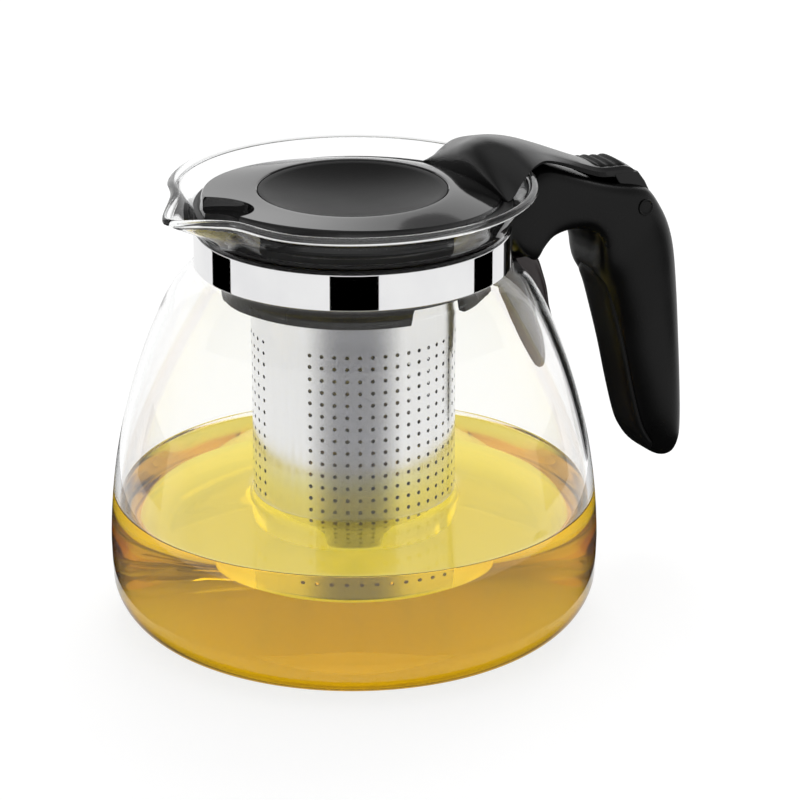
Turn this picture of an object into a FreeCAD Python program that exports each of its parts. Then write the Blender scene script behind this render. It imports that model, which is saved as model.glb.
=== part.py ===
"""Glass teapot with a lever lid and a lift-out strainer.

Frame: millimetres, +Z up, origin on the table under the middle of the jug.
The handle is towards +X, the pouring lip towards -X, and the XZ plane is the plane of symmetry.
"""
import FreeCAD, Part
import math
import os

import Sketcher
from FreeCAD import Placement, Rotation, Vector

doc = FreeCAD.newDocument("Teapot")
sheet = doc.addObject("Spreadsheet::Sheet", "Sizes")

DIMENSIONS = {
    # jug, outer surface
    "base_flat": 58.4, "base_corner": 17.6, "belly_radius": 76.2, "belly_height": 24.0,
    "side_radius": 187.0, "shoulder_low_radius": 58.8, "shoulder_low_height": 102.9,
    "shoulder_curve": 26.0, "shoulder_top_radius": 50.4, "shoulder_top_height": 113.8,
    "neck_radius": 47.8, "neck_low_height": 116.2, "neck_fillet": 3.4,
    "neck_high_height": 126.5, "flare_curve": 8.0, "flare_low_radius": 49.5,
    "flare_low_height": 131.4, "rim_radius": 56.6, "rim_height": 140.4, "rim_bead": 0.4,
    "glass_wall": 2.3, "glass_base": 3.6,
    "lip_low_reach": 42.0, "lip_low_size": 5.6, "lip_reach": 58.6, "lip_size": 5.9,
    # band and clamp
    "band_low": 116.5, "band_high": 127.9, "band_radius": 48.8, "band_sheet": 0.65, "band_gap": 6.0,
    "ear_thickness": 1.2, "ear_reach": 60.0, "screw_reach": 56.0, "screw_radius": 1.9,
    "clamp_head_radius": 3.4, "clamp_head_height": 2.2, "nut_width": 7.0, "nut_height": 2.6,
    # handle
    "fork_width": 25.0, "grip_width": 21.0, "channel_width": 16.2, "pin_reach": 99.8,
    "pin_height": 120.4, "pin_radius": 1.6, "pin_length": 21.6, "running_gap": 0.05,
    "tail_sweep": 10.9, "cap_radius": 3.3, "cap_height": 0.9, "cheek_low": 108.0, "grip_high": 90.0,
    "cover_width": 13.0, "cover_depth": 3.2, "cover_screw_radius": 1.2,
    # collar and gasket
    "collar_flange": 45.2, "collar_top": 130.4, "collar_flange_low": 129.0,
    "collar_radius": 42.0, "collar_bore": 39.6, "collar_low": 108.0, "web_low": 113.0,
    "web_high": 114.8, "web_bore": 32.1, "notch_height": 4.8, "notch_angle": 27.0,
    "notch_start": -96.0, "keeper_low": 117.0, "keeper_high": 118.8, "keeper_bore": 37.0, "keeper_angle": 20.0,
    "gate_start": 166.0, "gate_angle": 28.0,
    "gasket_low": 127.2, "gasket_radius": 44.9, "gasket_bore": 42.0,
    # strainer
    "strainer_radius": 31.5, "strainer_sheet": 0.5, "strainer_low": 20.6, "ring_high": 116.6,
    "ring_low": 106.0, "ring_flange": 36.0, "ring_bore": 29.6, "lug_reach": 39.0,
    "lug_angle": 16.0,
    # lid
    "lid_low": 131.0, "skirt_radius": 45.4, "flange_low": 133.5, "flange_radius": 47.7,
    "flange_high": 135.0, "crown_length": 47.0, "crown_width": 40.0, "crown_height": 137.6,
    "crown_tilt": 3.7, "dish_radius": 29.0, "dish_height": 139.7, "dish_depth": 4.2,
    "dish_sheet": 1.0, "pour_reach": 50.0, "pour_length": 14.5,
    "pour_width": 12.0, "pour_low": 136.6, "spill_length": 9.0, "spill_width": 9.5,
    "hollow_radius": 34.4, "hollow_high": 133.6, "seal_radius": 38.6, "seal_bore": 36.0,
    "seal_low": 128.2, "seal_high": 131.0,
    # lever
    "chord_reach": 39.8, "chord_half": 26.0, "chord_high": 142.0, "crest_height": 147.9,
    "crease_half": 9.0, "waist_reach": 66.0, "waist_half": 11.0, "foot_radius": 48.2,
    "rim_room_radius": 59.5, "rim_room_high": 141.6, "lever_end": 102.2, "pad_half": 7.6,
    "arm_width": 15.2, "hub_radius": 5.0, "pad_start": 83.5, "pad_top": 134.2,
    "groove_radius": 0.7, "groove_pitch": 3.6, "lid_screw_radius": 1.2,
    "lid_screw_reach": 41.6, "lid_screw_half": 11.0, "lid_screw_length": 9.0,
}


class Size:
    """A length that knows both its value and the sheet expression that gives it."""

    def __init__(self, value, text):
        self.value = value
        self.text = text

    def joined(self, sign, other, value):
        text = other.text if isinstance(other, Size) else repr(float(other))
        return Size(value, "(" + self.text + " " + sign + " " + text + ")")

    def __add__(self, other):
        return self.joined("+", other, self.value + number(other))

    def __sub__(self, other):
        return self.joined("-", other, self.value - number(other))

    def __mul__(self, other):
        return self.joined("*", other, self.value * number(other))

    def __truediv__(self, other):
        return self.joined("/", other, self.value / number(other))

    def __neg__(self):
        return Size(-self.value, "(0 - " + self.text + ")")


def number(size):
    return size.value if isinstance(size, Size) else float(size)


def fill_sheet():
    """Writes every driving dimension to the sheet and returns them by name."""
    sizes = {}
    for row, (name, value) in enumerate(DIMENSIONS.items(), start=1):
        sheet.set("A%d" % row, name)
        sheet.set("B%d" % row, str(value))
        sheet.setAlias("B%d" % row, name)
        sizes[name] = Size(value, "Sizes." + name)
    doc.recompute()
    return sizes


D = fill_sheet()
PARTS = {}


def bind(item, prop, size):
    """Binds a property to the sheet, or sets it where the size is a plain number."""
    if isinstance(size, Size):
        item.setExpression(prop, size.text)
        return
    *path, last = prop.split(".")
    if not path:
        setattr(item, last, size)
        return
    placement = item.Placement
    base = placement.Base
    setattr(base, last, size)
    placement.Base = base
    item.Placement = placement


def place(item, x=0.0, y=0.0, z=0.0, rotation=None):
    if rotation is not None:
        item.Placement = Placement(Vector(), rotation)
    for axis, size in (("x", x), ("y", y), ("z", z)):
        bind(item, "Placement.Base." + axis, size)


def keep(label, item):
    """Marks an object as a finished sub-part that gets a file of its own."""
    item.Label = label
    PARTS[label] = item
    return item


# ---- PartDesign helpers ----

def origin_plane(body, role):
    return next(item for item in body.Origin.OriginFeatures if item.Role == role)


def outline(body, name, role, points):
    """Draws a closed outline on an origin plane of the body.

    A point is (x, y) or (x, y, radius): with a radius the edge that leaves the point is an arc,
    bulging to the right of its direction when positive and to the left when negative.
    """
    sketch = body.newObject("Sketcher::SketchObject", name)
    sketch.AttachmentSupport = [(origin_plane(body, role), "")]
    sketch.MapMode = "FlatFace"
    count = len(points)
    for index, point in enumerate(points):
        following = points[(index + 1) % count]
        start = Vector(number(point[0]), number(point[1]), 0)
        end = Vector(number(following[0]), number(following[1]), 0)
        if len(point) == 3:
            sketch.addGeometry(arc_between(start, end, number(point[2])), False)
        else:
            sketch.addGeometry(Part.LineSegment(start, end), False)
    for index, point in enumerate(points):
        before = (index - 1) % count
        join_ends(sketch, before, points[before], index, point)
    for index, point in enumerate(points):
        pin_down(sketch, index, point)
    return sketch


def arc_between(start, end, radius):
    """The minor arc from start to end; a positive radius bulges to the right."""
    chord = end - start
    half = chord.Length / 2
    reach = math.sqrt(radius * radius - half * half)
    left = Vector(-chord.y, chord.x, 0).normalize()
    sign = 1 if radius > 0 else -1
    centre = (start + end) / 2 + left * reach * sign
    middle = centre - left * abs(radius) * sign
    return Part.Arc(start, middle, end)


def arc_ends(point):
    """Sketch point numbers of an edge's start and end: a clockwise arc is stored backwards."""
    if len(point) == 3 and number(point[2]) < 0:
        return 2, 1
    return 1, 2


def join_ends(sketch, before, before_point, index, point):
    sketch.addConstraint(Sketcher.Constraint("Coincident", before, arc_ends(before_point)[1],
                                             index, arc_ends(point)[0]))


def pin_down(sketch, index, point):
    """Ties an edge's start to the sheet in both directions, and an arc's radius."""
    vertex = arc_ends(point)[0]
    for kind, size in (("DistanceX", point[0]), ("DistanceY", point[1])):
        place_number = sketch.addConstraint(
            Sketcher.Constraint(kind, -1, 1, index, vertex, number(size)))
        if isinstance(size, Size):
            sketch.setExpression("Constraints[%d]" % place_number, size.text)
    if len(point) == 3:
        radius = point[2]
        place_number = sketch.addConstraint(
            Sketcher.Constraint("Radius", index, abs(number(radius))))
        if isinstance(radius, Size):
            text = radius.text if number(radius) > 0 else "(0 - " + radius.text + ")"
            sketch.setExpression("Constraints[%d]" % place_number, text)


def turned(label, points):
    """A body of revolution about Z from an outline of (radius, height) points."""
    body = doc.addObject("PartDesign::Body", label)
    sketch = outline(body, label + "_outline", "XZ_Plane", points)
    turn = body.newObject("PartDesign::Revolution", label + "_turn")
    turn.Profile = sketch
    turn.ReferenceAxis = (sketch, ["V_Axis"])
    turn.Angle = 360
    return body


def ring(label, bore, radius, low, high):
    return turned(label, [(bore, low), (radius, low), (radius, high), (bore, high)])


def slab(label, role, points, thickness):
    """A pad of an outline, centred on its plane."""
    body = doc.addObject("PartDesign::Body", label)
    sketch = outline(body, label + "_outline", role, points)
    pad = body.newObject("PartDesign::Pad", label + "_pad")
    pad.Profile = sketch
    pad.SideType = "Symmetric"
    bind(pad, "Length", thickness)
    return body


# ---- Part helpers ----

ALONG_Y = Rotation(Vector(1, 0, 0), -90)
ALONG_X = Rotation(Vector(0, 1, 0), 90)


def box(label, x, y, z, length, width, height):
    item = doc.addObject("Part::Box", label)
    bind(item, "Length", length)
    bind(item, "Width", width)
    bind(item, "Height", height)
    place(item, x, y, z)
    return item


def rod(label, radius, length, x, y, z, rotation=None):
    item = doc.addObject("Part::Cylinder", label)
    bind(item, "Radius", radius)
    bind(item, "Height", length)
    place(item, x, y, z, rotation)
    return item


def circle(label, radius, x, z):
    item = doc.addObject("Part::Circle", label)
    bind(item, "Radius", radius)
    place(item, x, 0.0, z)
    return item


def ellipse(label, major, minor, x, z, tilt=0.0):
    item = doc.addObject("Part::Ellipse", label)
    bind(item, "MajorRadius", major)
    bind(item, "MinorRadius", minor)
    place(item, x, 0.0, z, Rotation(Vector(0, 1, 0), tilt))
    return item


def loft(label, sections):
    item = doc.addObject("Part::Loft", label)
    item.Sections = sections
    item.Solid = True
    item.Ruled = True
    return item


def prism(label, section, height):
    item = doc.addObject("Part::Extrusion", label)
    item.Base = section
    item.DirMode = "Custom"
    item.Dir = Vector(0, 0, 1)
    bind(item, "LengthFwd", height)
    item.Solid = True
    return item


def fused(label, items):
    item = doc.addObject("Part::MultiFuse", label)
    item.Shapes = items
    return item


def common(label, first, second):
    item = doc.addObject("Part::Common", label)
    item.Base = first
    item.Tool = second
    return item


def less(label, base, tools):
    """The base with every tool cut away."""
    item = doc.addObject("Part::Cut", label)
    item.Base = base
    item.Tool = tools[0] if len(tools) == 1 else fused(label + "_cuts", tools)
    return item


def sector(label, bore, radius, low, high, start, angle):
    """Part of a ring between two angles, in degrees from +X."""
    outer = doc.addObject("Part::Cylinder", label + "_outer")
    bind(outer, "Radius", radius)
    bind(outer, "Height", high - low)
    bind(outer, "Angle", angle)
    place(outer, 0.0, 0.0, low, Rotation(Vector(0, 0, 1), start))
    inner = rod(label + "_inner", bore, high - low + 2, 0.0, 0.0, low - 1)
    return less(label, outer, [inner])


# ---- jug ----

def jug_outline(wall, floor, top):
    """Half outline of the jug, moved inwards by the wall; open shapes close on the axis."""
    slant = wall * 1.25
    return [
        (0.0, floor),
        (D["base_flat"], floor, D["base_corner"] - wall),
        (D["base_flat"] + D["base_corner"] - wall, D["base_corner"] - wall + floor),
        (D["belly_radius"] - wall, D["belly_height"], D["side_radius"] - wall),
        (D["shoulder_low_radius"] - wall, D["shoulder_low_height"] - wall * 0.35,
         D["shoulder_curve"] - wall),
        (D["shoulder_top_radius"] - wall * 0.8, D["shoulder_top_height"] - wall * 0.7,
         -(D["neck_fillet"] + wall)),
        (D["neck_radius"] - wall, D["neck_low_height"]),
        (D["neck_radius"] - wall, D["neck_high_height"], -(D["flare_curve"] + wall)),
        (D["flare_low_radius"] - slant, D["flare_low_height"]),
        (D["rim_radius"] - slant, D["rim_height"]),
        (D["rim_radius"] - slant, top),
        (0.0, top),
    ]


def make_jug():
    outside = turned("jug_outside", jug_outline(0.0, 0.0, D["rim_height"] + D["rim_bead"]))
    inside = turned("jug_inside", jug_outline(D["glass_wall"], D["glass_base"],
                                              D["rim_height"] + 6))
    low = D["neck_high_height"] + 1
    lip_outside = loft("lip_outside", [
        circle("lip_outside_low", D["lip_low_size"], -D["lip_low_reach"], low),
        circle("lip_outside_high", D["lip_size"], -D["lip_reach"], D["rim_height"] + D["rim_bead"])])
    lip_inside = loft("lip_inside", [
        circle("lip_inside_low", D["lip_low_size"] - D["glass_wall"], -D["lip_low_reach"], low),
        circle("lip_inside_high", D["lip_size"] - D["glass_wall"] + 0.3, -D["lip_reach"] - 0.6,
               D["rim_height"] + 2)])
    solid = fused("jug_solid", [outside, lip_outside])
    keep("glass_jug", less("glass_jug", solid, [inside, lip_inside]))


# ---- band round the neck ----

def make_band():
    low, high = D["band_low"], D["band_high"]
    strap = ring("band_strap", D["band_radius"] - D["band_sheet"], D["band_radius"], low, high)
    gap = box("band_opening", 40.0, -(D["band_gap"] / 2), low - 1,
              20.0, D["band_gap"], high - low + 2)
    open_strap = less("band_open", strap, [gap])
    ears = []
    for side, name in ((-1, "near"), (1, "far")):
        inner = D["band_gap"] / 2 if side > 0 else -(D["band_gap"] / 2) - D["ear_thickness"]
        ears.append(box("band_ear_" + name, D["band_radius"] - 0.9, inner, low + 1,
                        D["ear_reach"] - D["band_radius"] + 0.9, D["ear_thickness"],
                        high - low - 2))
    hole = rod("band_hole", D["screw_radius"] + 0.1, 20.0, D["screw_reach"], -10.0,
               (low + high) / 2, ALONG_Y)
    keep("neck_band", less("neck_band", fused("band_with_ears", [open_strap] + ears), [hole]))


def make_clamp():
    middle = (D["band_low"] + D["band_high"]) / 2
    face = D["band_gap"] / 2 + D["ear_thickness"]
    shank = rod("clamp_shank", D["screw_radius"], face * 2 + D["nut_height"] + 0.8,
                D["screw_reach"], -face, middle, ALONG_Y)
    head = rod("clamp_head", D["clamp_head_radius"], D["clamp_head_height"], D["screw_reach"],
               -face - D["clamp_head_height"], middle, ALONG_Y)
    keep("clamp_screw", fused("clamp_screw", [shank, head]))
    block = box("nut_block", D["screw_reach"] - D["nut_width"] / 2, face,
                middle - D["nut_width"] / 2, D["nut_width"], D["nut_height"], D["nut_width"])
    bore = rod("nut_bore", D["screw_radius"] + 0.02, 20.0, D["screw_reach"], -1.0, middle,
               ALONG_Y)
    keep("clamp_nut", less("clamp_nut", block, [bore]))


# ---- handle ----

def handle_outline():
    """Side view of the handle: root, arch, hanging grip and finger side."""
    pin_x, pin_z = D["pin_reach"], D["pin_height"]
    return [
        (D["band_radius"] + 0.5, D["band_low"] - 0.5),
        (D["band_radius"] + 5, D["band_low"] - 5),
        (D["shoulder_low_radius"] + 1.6, D["shoulder_low_height"] + 5.5),
        (D["shoulder_low_radius"] + 4.8, D["shoulder_low_height"] + 5.7, -12.0),
        (pin_x - 27.3, pin_z - 4.6),
        (pin_x - 19.3, pin_z - 4.6, -5.0),
        (pin_x - 15.6, pin_z - 8.8),
        (pin_x - 15.2, pin_z - 13.9),
        (pin_x - 14.4, pin_z - 18.8, 60.0),
        (pin_x - 10.8, pin_z - 25.2),
        (pin_x - 4.5, pin_z - 50.7),
        (pin_x + 1.6, pin_z - 75.9, 14.0),
        (pin_x + 12.2, pin_z - 89),
        (pin_x + 17.6, pin_z - 89, 6.0),
        (pin_x + 22, pin_z - 82.2, 600.0),
        (pin_x + 17.8, pin_z - 22.4),
        (pin_x + 16.4, pin_z - 15.9),
        (pin_x + 13, pin_z - 8.2),
        (pin_x + 8, pin_z - 0.8),
        (pin_x + 4.2, pin_z + 4.8, 3.0),
        (pin_x + 1.8, pin_z + 6.4),
        (pin_x - 11.8, pin_z + 9.2),
        (pin_x - 25.8, pin_z + 14.8),
        (pin_x - 37.4, pin_z + 19.4),
        (pin_x - 40.2, pin_z + 18.2),
        (D["band_radius"] + 4.4, D["band_high"] + 2.7),
        (D["band_radius"] + 0.5, D["band_high"] - 1.2),
    ]


def make_handle():
    pin_x, pin_z = D["pin_reach"], D["pin_height"]
    side = slab("handle_side", "XZ_Plane", handle_outline(), D["fork_width"])
    fork, grip = D["fork_width"] / 2, D["grip_width"] / 2
    front = prism_across("handle_front", [
        (-grip, 20.0), (grip, 20.0), (grip, D["grip_high"]), (fork, D["cheek_low"]),
        (fork, 140.0), (-fork, 140.0), (-fork, D["cheek_low"]), (-grip, D["grip_high"])])
    block = common("handle_block", side, front)
    half = D["channel_width"] / 2
    channel = box("lever_channel", pin_x - 17, -half, pin_z - 1,
                  D["tail_sweep"] + 17, D["channel_width"], 20.0)
    sweep = rod("tail_room", D["tail_sweep"], D["channel_width"], pin_x, -half, pin_z, ALONG_Y)
    fit = D["pin_radius"] + D["running_gap"]
    reach = D["pin_length"] / 2 + 0.3
    seat = rod("pin_seat", fit, reach * 2, pin_x, -reach, pin_z, ALONG_Y)
    slot = box("pin_slot", pin_x - fit, -reach, pin_z, fit * 2, reach * 2, 20.0)
    ear_half = D["band_gap"] / 2 + D["ear_thickness"]
    ear_room = box("ear_room", D["band_radius"] - 1, -ear_half - 3.4, D["band_low"] + 0.5,
                   D["ear_reach"] - D["band_radius"] + 2, ear_half * 2 + 7.4,
                   D["band_high"] - D["band_low"] - 1)
    groove = cover_block("cover_groove", D["cover_width"] + 0.1)
    room = jug_room("handle_jug_room")
    cut = less("handle_cut", block, [channel, sweep, seat, slot, ear_room, groove, room]
               + cover_screw_rods("handle_bore_"))
    keep("handle_shell", cut)


def jug_room(label):
    """The jug's outer form, grown by a hair, to be cut out of what rests on it."""
    grown = -(D["running_gap"] * 2)
    return turned(label, jug_outline(grown, 0.0, D["rim_height"] + D["rim_bead"]))


def cover_screw_rods(label):
    """The two screws of the inner cover, or the bores that they turn in."""
    places = (("high", 36.0, -7.8), ("low", 68.0, 0.1))
    return [rod(label + name, D["cover_screw_radius"], 9.0, D["pin_reach"] + reach, 0.0,
                D["pin_height"] - drop, ALONG_X) for name, drop, reach in places]


def cover_block(label, width):
    """The strip on the finger side of the grip, a little in from the shell's edges."""
    pin_x, pin_z = D["pin_reach"], D["pin_height"]
    deep = D["cover_depth"]
    return slab(label, "XZ_Plane", [
        (pin_x - 10.8, pin_z - 25.2),
        (pin_x - 4.5, pin_z - 50.7),
        (pin_x + 1.6, pin_z - 75.9),
        (pin_x + 1.6 + deep, pin_z - 75.1),
        (pin_x - 4.5 + deep, pin_z - 50.0),
        (pin_x - 10.8 + deep, pin_z - 24.4),
    ], width)


def make_handle_trim():
    pin_x, pin_z = D["pin_reach"], D["pin_height"]
    cover = cover_block("cover_strip", D["cover_width"])
    keep("handle_inner_cover", less("handle_inner_cover", cover,
                                    cover_screw_rods("cover_bore_")))
    keep("cover_screws", fused("cover_screws", cover_screw_rods("cover_screw_")))
    caps = []
    for name, start in (("near", -(D["fork_width"] / 2) - D["cap_height"]),
                        ("far", D["fork_width"] / 2)):
        caps.append(rod("cheek_cap_" + name, D["cap_radius"], D["cap_height"], pin_x, start,
                        pin_z, ALONG_Y))
    keep("cheek_caps", fused("cheek_caps", caps))
    make_shoulder_rest()


def make_shoulder_rest():
    """The leaf-shaped tongue that lies on the glass shoulder below the handle's root."""
    side = slab("rest_side", "XZ_Plane", [
        (D["band_radius"] + 4.8, D["band_low"] - 5.4),
        (D["band_radius"] + 1.0, D["band_low"] - 9.0),
        (D["shoulder_low_radius"] - 4, D["shoulder_low_height"] - 14),
        (D["shoulder_low_radius"] + 5, D["shoulder_low_height"] - 33.5),
        (D["shoulder_low_radius"] + 13.6, D["shoulder_low_height"] - 33.5),
        (D["shoulder_low_radius"] + 14.2, D["shoulder_low_height"] - 30.1),
        (D["shoulder_low_radius"] + 11.4, D["shoulder_low_height"] - 21.9),
        (D["shoulder_low_radius"] + 8.6, D["shoulder_low_height"] - 11.8, -60.0),
        (D["shoulder_low_radius"] + 5.8, D["shoulder_low_height"] - 0.4),
        (D["shoulder_low_radius"] + 4.6, D["shoulder_low_height"] + 5.2),
        (D["shoulder_low_radius"] + 1.6, D["shoulder_low_height"] + 5.0),
    ], 22.0)
    leaf = prism_across("rest_leaf", [
        (-10.5, D["shoulder_low_height"] + 8), (-10.5, D["shoulder_low_height"] - 8, 40.0),
        (-1.5, D["shoulder_low_height"] - 32.6, 1.6),
        (1.5, D["shoulder_low_height"] - 32.6, 40.0),
        (10.5, D["shoulder_low_height"] - 8), (10.5, D["shoulder_low_height"] + 8)])
    shape = common("rest_shape", side, leaf)
    keep("shoulder_rest", less("shoulder_rest", shape, [jug_room("rest_jug_room")]))


def prism_across(label, points):
    """An outline in the YZ plane, padded along X far past the handle."""
    return slab(label, "YZ_Plane", points, 300.0)


# ---- collar, gasket and strainer ----

def make_collar():
    body = turned("collar_turned", [
        (D["web_bore"], D["web_low"]), (D["collar_bore"], D["web_low"]),
        (D["collar_bore"], D["collar_low"]), (D["collar_radius"], D["collar_low"]),
        (D["collar_radius"], D["collar_flange_low"]),
        (D["collar_flange"], D["collar_flange_low"]),
        (D["collar_flange"], D["collar_top"]), (D["collar_bore"], D["collar_top"]),
        (D["collar_bore"], D["web_high"]), (D["web_bore"], D["web_high"])])
    notches, keepers = [], []
    for index in range(3):
        start = DIMENSIONS["notch_start"] + 120 * index
        notches.append(sector("collar_notch_%d" % index, D["collar_bore"] - 1,
                              D["collar_radius"] + 1, D["collar_low"] - 1,
                              D["collar_low"] + D["notch_height"], start, D["notch_angle"]))
        keepers.append(sector("keeper_%d" % index, D["keeper_bore"], D["collar_bore"] + 0.5,
                              D["keeper_low"], D["keeper_high"], start,
                              D["keeper_angle"]))
    gate = sector("pour_gate", D["collar_radius"], D["collar_flange"] + 2, D["gasket_low"] - 1,
                  D["collar_top"] + 1, DIMENSIONS["gate_start"], D["gate_angle"])
    keep("insert_collar", less("insert_collar", fused("collar_solid", [body] + keepers),
                               notches + [gate]))
    gasket = ring("gasket_ring", D["gasket_bore"], D["gasket_radius"], D["gasket_low"],
                  D["collar_flange_low"])
    keep("collar_gasket", less("collar_gasket", gasket, [gate]))


def make_strainer():
    sheet_in = D["strainer_radius"] - D["strainer_sheet"]
    top = turned("ring_turned", [
        (D["ring_bore"], D["ring_low"]), (sheet_in, D["ring_low"]),
        (sheet_in, D["web_high"] + 0.3), (D["ring_flange"], D["web_high"] + 0.3),
        (D["ring_flange"], D["ring_high"]), (D["ring_bore"], D["ring_high"])])
    lugs = []
    for index in range(3):
        start = DIMENSIONS["notch_start"] + 2 + 120 * index
        lugs.append(sector("ring_lug_%d" % index, D["ring_bore"] + 2, D["lug_reach"],
                           D["web_high"] + 0.3, D["ring_high"], start, D["lug_angle"]))
    keep("strainer_ring", fused("strainer_ring", [top] + lugs))
    keep("strainer_wall", strainer_wall())
    keep("strainer_base", turned("strainer_base", [
        (0.0, D["strainer_low"]), (D["strainer_radius"] - 1.4, D["strainer_low"], 1.4),
        (D["strainer_radius"], D["strainer_low"] + 1.4),
        (D["strainer_radius"], D["strainer_low"] + 3),
        (sheet_in, D["strainer_low"] + 3), (sheet_in, D["strainer_low"] + 1.4, -0.9),
        (D["strainer_radius"] - 1.4, D["strainer_low"] + 0.5), (0.0, D["strainer_low"] + 0.5)]))


def strainer_wall():
    """The straight steel wall, from the bottom cup up to the top ring's flange."""
    return ring("strainer_wall", D["strainer_radius"] - D["strainer_sheet"],
                D["strainer_radius"], D["strainer_low"] + 3, D["web_high"] + 0.3)


# ---- lid ----

def make_lid():
    crown = loft("lid_crown", [
        circle("crown_low", D["flange_radius"] - 0.6, 0.0, D["flange_high"] - 1),
        ellipse("crown_crease", D["crown_length"], D["crown_width"], 0.0, D["crown_height"],
                DIMENSIONS["crown_tilt"]),
        circle("crown_top", D["dish_radius"] + 0.2, 0.0, D["dish_height"])])
    base = turned("lid_base", [
        (0.0, D["lid_low"]), (D["skirt_radius"], D["lid_low"]),
        (D["skirt_radius"], D["flange_low"]), (D["flange_radius"], D["flange_low"]),
        (D["flange_radius"], D["flange_high"]), (0.0, D["flange_high"])])
    span, sag = D["dish_radius"], D["dish_depth"] - D["dish_sheet"]
    low = D["dish_height"] - D["dish_depth"]
    bowl_radius = (span * span + sag * sag) / (sag * 2)
    recess = turned("dish_recess", [
        (0.0, low, bowl_radius), (span, D["dish_height"] - D["dish_sheet"]),
        (span, D["dish_height"] + 5), (0.0, D["dish_height"] + 5)])
    pour_cut = prism("pour_cut", ellipse("pour_oval", D["pour_length"], D["pour_width"],
                                         -D["pour_reach"], D["pour_low"]), 20.0)
    spill_cut = prism("spill_cut", ellipse("spill_oval", D["spill_width"], D["spill_length"],
                                           -D["pour_reach"], D["lid_low"] - 1), 20.0)
    hollow = rod("lid_hollow", D["hollow_radius"], D["hollow_high"] - D["lid_low"] + 1, 0.0, 0.0,
                 D["lid_low"] - 1)
    bores = [lid_screw("lid_bore_", side) for side in (-1, 1)]
    keep("lid_plate", less("lid_plate", fused("lid_solid", [crown, base]),
                           [recess, pour_cut, spill_cut, hollow] + bores))
    keep("lid_dish", turned("lid_dish", [
        (0.0, low, bowl_radius), (span, D["dish_height"] - D["dish_sheet"]),
        (span, D["dish_height"], -bowl_radius), (0.0, low + D["dish_sheet"])]))
    keep("lid_seal", ring("lid_seal", D["seal_bore"], D["seal_radius"], D["seal_low"],
                          D["seal_high"]))
    keep("lid_screws", fused("lid_screws", [lid_screw("lid_screw_", side)
                                            for side in (-1, 1)]))


def lid_screw(label, side):
    name = "near" if side < 0 else "far"
    return rod(label + name, D["lid_screw_radius"], D["lid_screw_length"],
               D["lid_screw_reach"], D["lid_screw_half"] * side, D["lid_low"])


# ---- lever ----

def make_lever():
    pin_x, pin_z = D["pin_reach"], D["pin_height"]
    side = slab("lever_side", "XZ_Plane", [
        (D["chord_reach"], D["crown_height"] - 2), (D["foot_radius"] - 0.2, D["crown_height"] - 2),
        (D["foot_radius"] - 0.2, D["rim_room_high"] + 0.6), (60.0, D["rim_room_high"] + 0.6),
        (74.0, 136.6, -40.0), (D["pad_start"] + 4, 131.2), (D["lever_end"] - 2.6, 128.2),
        (D["lever_end"], 129.2), (D["lever_end"] - 6, 134.1, 14.0), (D["pad_start"] + 5.7, 134.6),
        (67.7, 142.7, 60.0), (49.2, D["crest_height"] - 0.1), (46.0, D["crest_height"] - 0.7),
        (D["chord_reach"] + 1.6, D["chord_high"] + 2.2), (D["chord_reach"], D["chord_high"])], 80.0)
    plan = slab("lever_plan", "XY_Plane", [
        (D["chord_reach"] - 1, -D["chord_half"]), (D["chord_reach"] + 3, -D["chord_half"], -36.0),
        (D["waist_reach"], -D["waist_half"]), (D["pad_start"], -D["pad_half"]),
        (D["lever_end"] + 1, -D["pad_half"]), (D["lever_end"] + 1, D["pad_half"]),
        (D["pad_start"], D["pad_half"]), (D["waist_reach"], D["waist_half"], -36.0),
        (D["chord_reach"] + 3, D["chord_half"]), (D["chord_reach"] - 1, D["chord_half"])], 400.0)
    tent = prism_across("lever_tent", [
        (-D["chord_half"] - 1, 100.0), (D["chord_half"] + 1, 100.0),
        (D["chord_half"] + 1, D["crown_height"] - 1), (D["crease_half"], D["crest_height"] - 1.8),
        (0.0, D["crest_height"] + 0.6), (-D["crease_half"], D["crest_height"] - 1.8),
        (-D["chord_half"] - 1, D["crown_height"] - 1)])
    arch = common("lever_arch", common("lever_sheet", side, plan), tent)
    arm_side = slab("lever_arm_side", "XZ_Plane", [
        (pin_x - 4.4, pin_z - 2.4), (pin_x + 4.4, pin_z - 2.4), (pin_x + 9.0, pin_z + 0.5),
        (pin_x + 8.4, pin_z + 4.0), (pin_x + 3.5, pin_z + 9.0), (pin_x - 10, pin_z + 11.6)],
        D["arm_width"])
    hub = rod("lever_hub", D["hub_radius"], D["arm_width"], pin_x, -(D["arm_width"] / 2), pin_z,
              ALONG_Y)
    bore = rod("lever_bore", D["pin_radius"] + 0.02, 30.0, pin_x, -15.0, pin_z, ALONG_Y)
    lid_room = doc.getObject("lid_solid")
    rim_room = ring("lever_rim_room", D["foot_radius"], D["rim_room_radius"],
                    D["lid_low"], D["rim_room_high"])
    bores = [lid_screw("lever_bore_", screw_side) for screw_side in (-1, 1)]
    solid = fused("lever_solid", [arch, arm_side, hub])
    inlay = pad_inlay()
    keep("lid_lever", less("lid_lever", solid, [bore, lid_room, rim_room, inlay] + bores))
    grooves = [rod("pad_groove_%d" % index, D["groove_radius"], 30.0,
                   D["pad_start"] + 4.5 + D["groove_pitch"] * index, -15.0, D["pad_top"] + 0.3, ALONG_Y)
               for index in range(3)]
    keep("thumb_pad", less("thumb_pad", common("pad_shape", inlay, arch), grooves))
    keep("hinge_pin", rod("hinge_pin", D["pin_radius"], D["pin_length"], pin_x,
                          -(D["pin_length"] / 2), pin_z, ALONG_Y))


def pad_inlay():
    """The soft inlay on the tail of the lever: its top follows the lever's own."""
    low = D["pad_top"] - 1.5
    return slab("pad_inlay", "XZ_Plane", [
        (D["pad_start"] + 1.5, low), (D["pad_start"] + 13.5, low),
        (D["pad_start"] + 13.5, low + 5), (D["pad_start"] + 1.5, low + 5)],
        D["pad_half"] * 2 - 1.6)


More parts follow.
